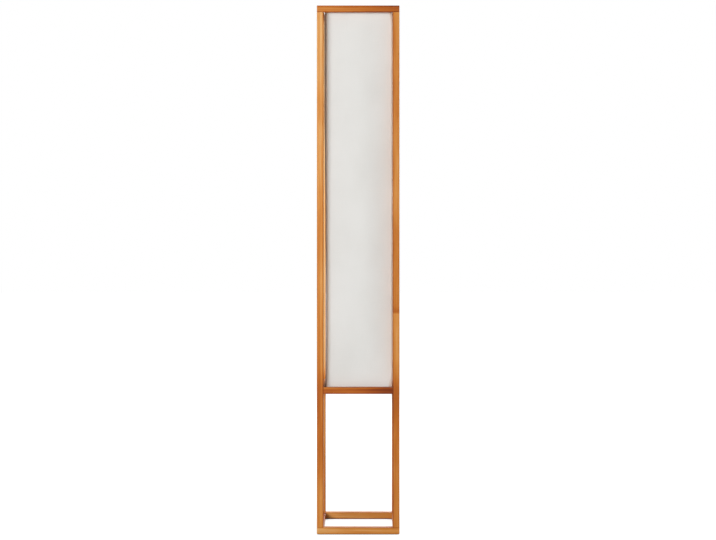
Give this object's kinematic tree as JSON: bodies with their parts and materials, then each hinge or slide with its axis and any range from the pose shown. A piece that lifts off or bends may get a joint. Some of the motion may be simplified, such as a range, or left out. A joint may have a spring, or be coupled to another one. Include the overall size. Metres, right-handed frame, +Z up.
{
  "type": "andon floor lamp",
  "caption": "Tall square open-frame wooden floor lamp with a full-height fabric shade in its upper bay and an open lower bay.",
  "frame": {"origin": "on the floor, in the middle of the lamp's square footprint", "axes": "+Z up, the front faces -Y, +X to the right as seen from the front"},
  "size_m": [0.25, 0.25, 1.6],
  "materials": {
    "stained_wood": "honey stain with a satin clear coat, straight fine grain",
    "dowel_wood": "plain unfinished beech",
    "plywood": "stained plywood, satin",
    "zinc_steel": "bright zinc plated",
    "pipe_steel": "white enamel",
    "ring_wire": "white enamel on round wire",
    "pad_felt": "pressed brown felt",
    "bush_plastic": "moulded, matte white",
    "holder_plastic": "moulded, satin white",
    "insert_ceramic": "unglazed porcelain",
    "contact_brass": "plain pressed brass",
    "bulb_glass": "opal white, satin",
    "bulb_metal": "rolled, bright",
    "insulator_glass": "black glassy insulator",
    "shade_fabric": "off-white woven cloth on a stiff backing"
  },
  "bodies": {
    "frame": {"front_left_post": "stained_wood", "front_right_post": "stained_wood", "back_left_post": "stained_wood", "back_right_post": "stained_wood", "bottom_front_rail": "stained_wood", "bottom_back_rail": "stained_wood", "bottom_left_rail": "stained_wood", "bottom_right_rail": "stained_wood", "middle_front_rail": "stained_wood", "middle_back_rail": "stained_wood", "middle_left_rail": "stained_wood", "middle_right_rail": "stained_wood", "top_front_rail": "stained_wood", "top_back_rail": "stained_wood", "top_left_rail": "stained_wood", "top_right_rail": "stained_wood", "top_rail_dowels": "dowel_wood", "middle_rail_dowels": "dowel_wood", "side_rail_dowels": "dowel_wood", "bottom_rail_screws": "zinc_steel", "cleat_screws": "zinc_steel", "board_screws": "zinc_steel", "floor_pads": "pad_felt", "left_cleat": "stained_wood", "right_cleat": "stained_wood", "base_board": "plywood", "lamp_pipe": "pipe_steel", "pipe_nuts": "zinc_steel", "pipe_washers": "zinc_steel", "cord_inlet_bush": "bush_plastic", "lampholder_cap": "holder_plastic", "lampholder_sleeve": "holder_plastic", "contact_insert": "insert_ceramic", "screw_shell": "contact_brass", "centre_contact": "contact_brass"},
    "shade": {"shade_sheet": "shade_fabric", "shade_top_ring": "ring_wire", "shade_bottom_ring": "ring_wire"},
    "bulb": {"bulb_globe": "bulb_glass", "bulb_cap": "bulb_metal", "bulb_insulator": "insulator_glass", "bulb_contact": "bulb_metal"}
  },
  "joints": [
    {"name": "shade_lift", "type": "slide", "parent": "frame", "child": "shade", "axis": [0, 0, 1], "range_m": [0, 1.165]},
    {"name": "bulb_unscrew", "type": "slide", "parent": "frame", "child": "bulb", "axis": [0, 0, 1], "range_m": [0, 0.03]}
  ]
}
